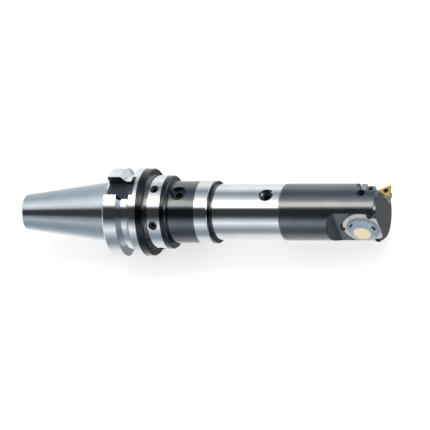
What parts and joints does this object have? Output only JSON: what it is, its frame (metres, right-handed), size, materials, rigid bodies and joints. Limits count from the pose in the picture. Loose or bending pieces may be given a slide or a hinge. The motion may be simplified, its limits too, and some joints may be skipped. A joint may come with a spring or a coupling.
{
  "type": "boring bar",
  "caption": "Modular boring bar: steep taper shank with gripper flange, extension bar and fine boring head with dial, slide, insert holder and carbide insert.",
  "frame": {"origin": "centre of the taper's gauge circle, where the taper is 44.45 mm across", "axes": "+X along the tool towards the cutting end; +Z through one drive slot, the clamp screws and the slide's lock screw; +Y the side that the insert reaches out to, with the dial on -Y"},
  "size_m": [0.2706, 0.063, 0.063],
  "materials": {
    "ground_steel": "ground and hardened steel",
    "blackened_steel": "black oxide, satin",
    "black_screw_steel": "black oxide screw steel",
    "dial_aluminium": "satin anodised",
    "cap_gold": "satin gold",
    "coated_insert": "golden coating on cemented carbide",
    "soft_brass": "turned",
    "seal_rubber": "moulded nitrile"
  },
  "bodies": {
    "tool_body": {"basic_holder": "ground_steel", "balance_screws": "black_screw_steel", "holder_counter_screw": "black_screw_steel", "extension_bar": "ground_steel", "extension_clamp_pin": "ground_steel", "extension_drive_pin": "ground_steel", "extension_seal_ring": "seal_rubber", "extension_counter_screw": "black_screw_steel", "head_body": "blackened_steel", "head_clamp_pin": "ground_steel", "head_drive_pin": "ground_steel", "head_seal_ring": "seal_rubber", "slide_key": "ground_steel", "lock_pad": "soft_brass", "thrust_washer": "ground_steel", "retaining_ring": "black_screw_steel", "bearing_flange": "ground_steel", "flange_screws": "black_screw_steel"},
    "holder_clamp": {"holder_clamp_screw": "black_screw_steel"},
    "extension_clamp": {"extension_clamp_screw": "black_screw_steel"},
    "slide_lock": {"slide_lock_screw": "black_screw_steel"},
    "dial_unit": {"lead_screw": "ground_steel", "dial": "dial_aluminium", "dial_cap": "cap_gold", "dial_set_screw": "black_screw_steel"},
    "slide_unit": {"slide": "ground_steel", "slide_seal_ring": "seal_rubber", "insert_holder": "ground_steel", "insert": "coated_insert", "insert_screw": "black_screw_steel", "holder_screw": "black_screw_steel"}
  },
  "joints": [
    {"name": "dial_turn", "type": "hinge", "parent": "tool_body", "child": "dial_unit", "pos_m": [0.1919, 0, 0], "axis": [0, 1, 0], "range_deg": [-360, 1800]},
    {"name": "slide_travel", "type": "slide", "parent": "tool_body", "child": "slide_unit", "axis": [0, 1, 0], "range_m": [-0.0005, 0.0025]},
    {"name": "slide_lock_turn", "type": "hinge", "parent": "tool_body", "child": "slide_lock", "pos_m": [0.1919, 0.0015, 0.0133], "axis": [0, 0, 1], "range_deg": [0, 360]},
    {"name": "holder_clamp_turn", "type": "hinge", "parent": "tool_body", "child": "holder_clamp", "pos_m": [0.0553, 0, 0.014], "axis": [0, 0, 1], "range_deg": [0, 360]},
    {"name": "extension_clamp_turn", "type": "hinge", "parent": "tool_body", "child": "extension_clamp", "pos_m": [0.1208, 0, 0.013], "axis": [0, 0, 1], "range_deg": [0, 360]}
  ],
  "couplings": [
    {"joint": "dial_turn", "follows": "slide_travel", "rad_per_m": 12566}
  ]
}
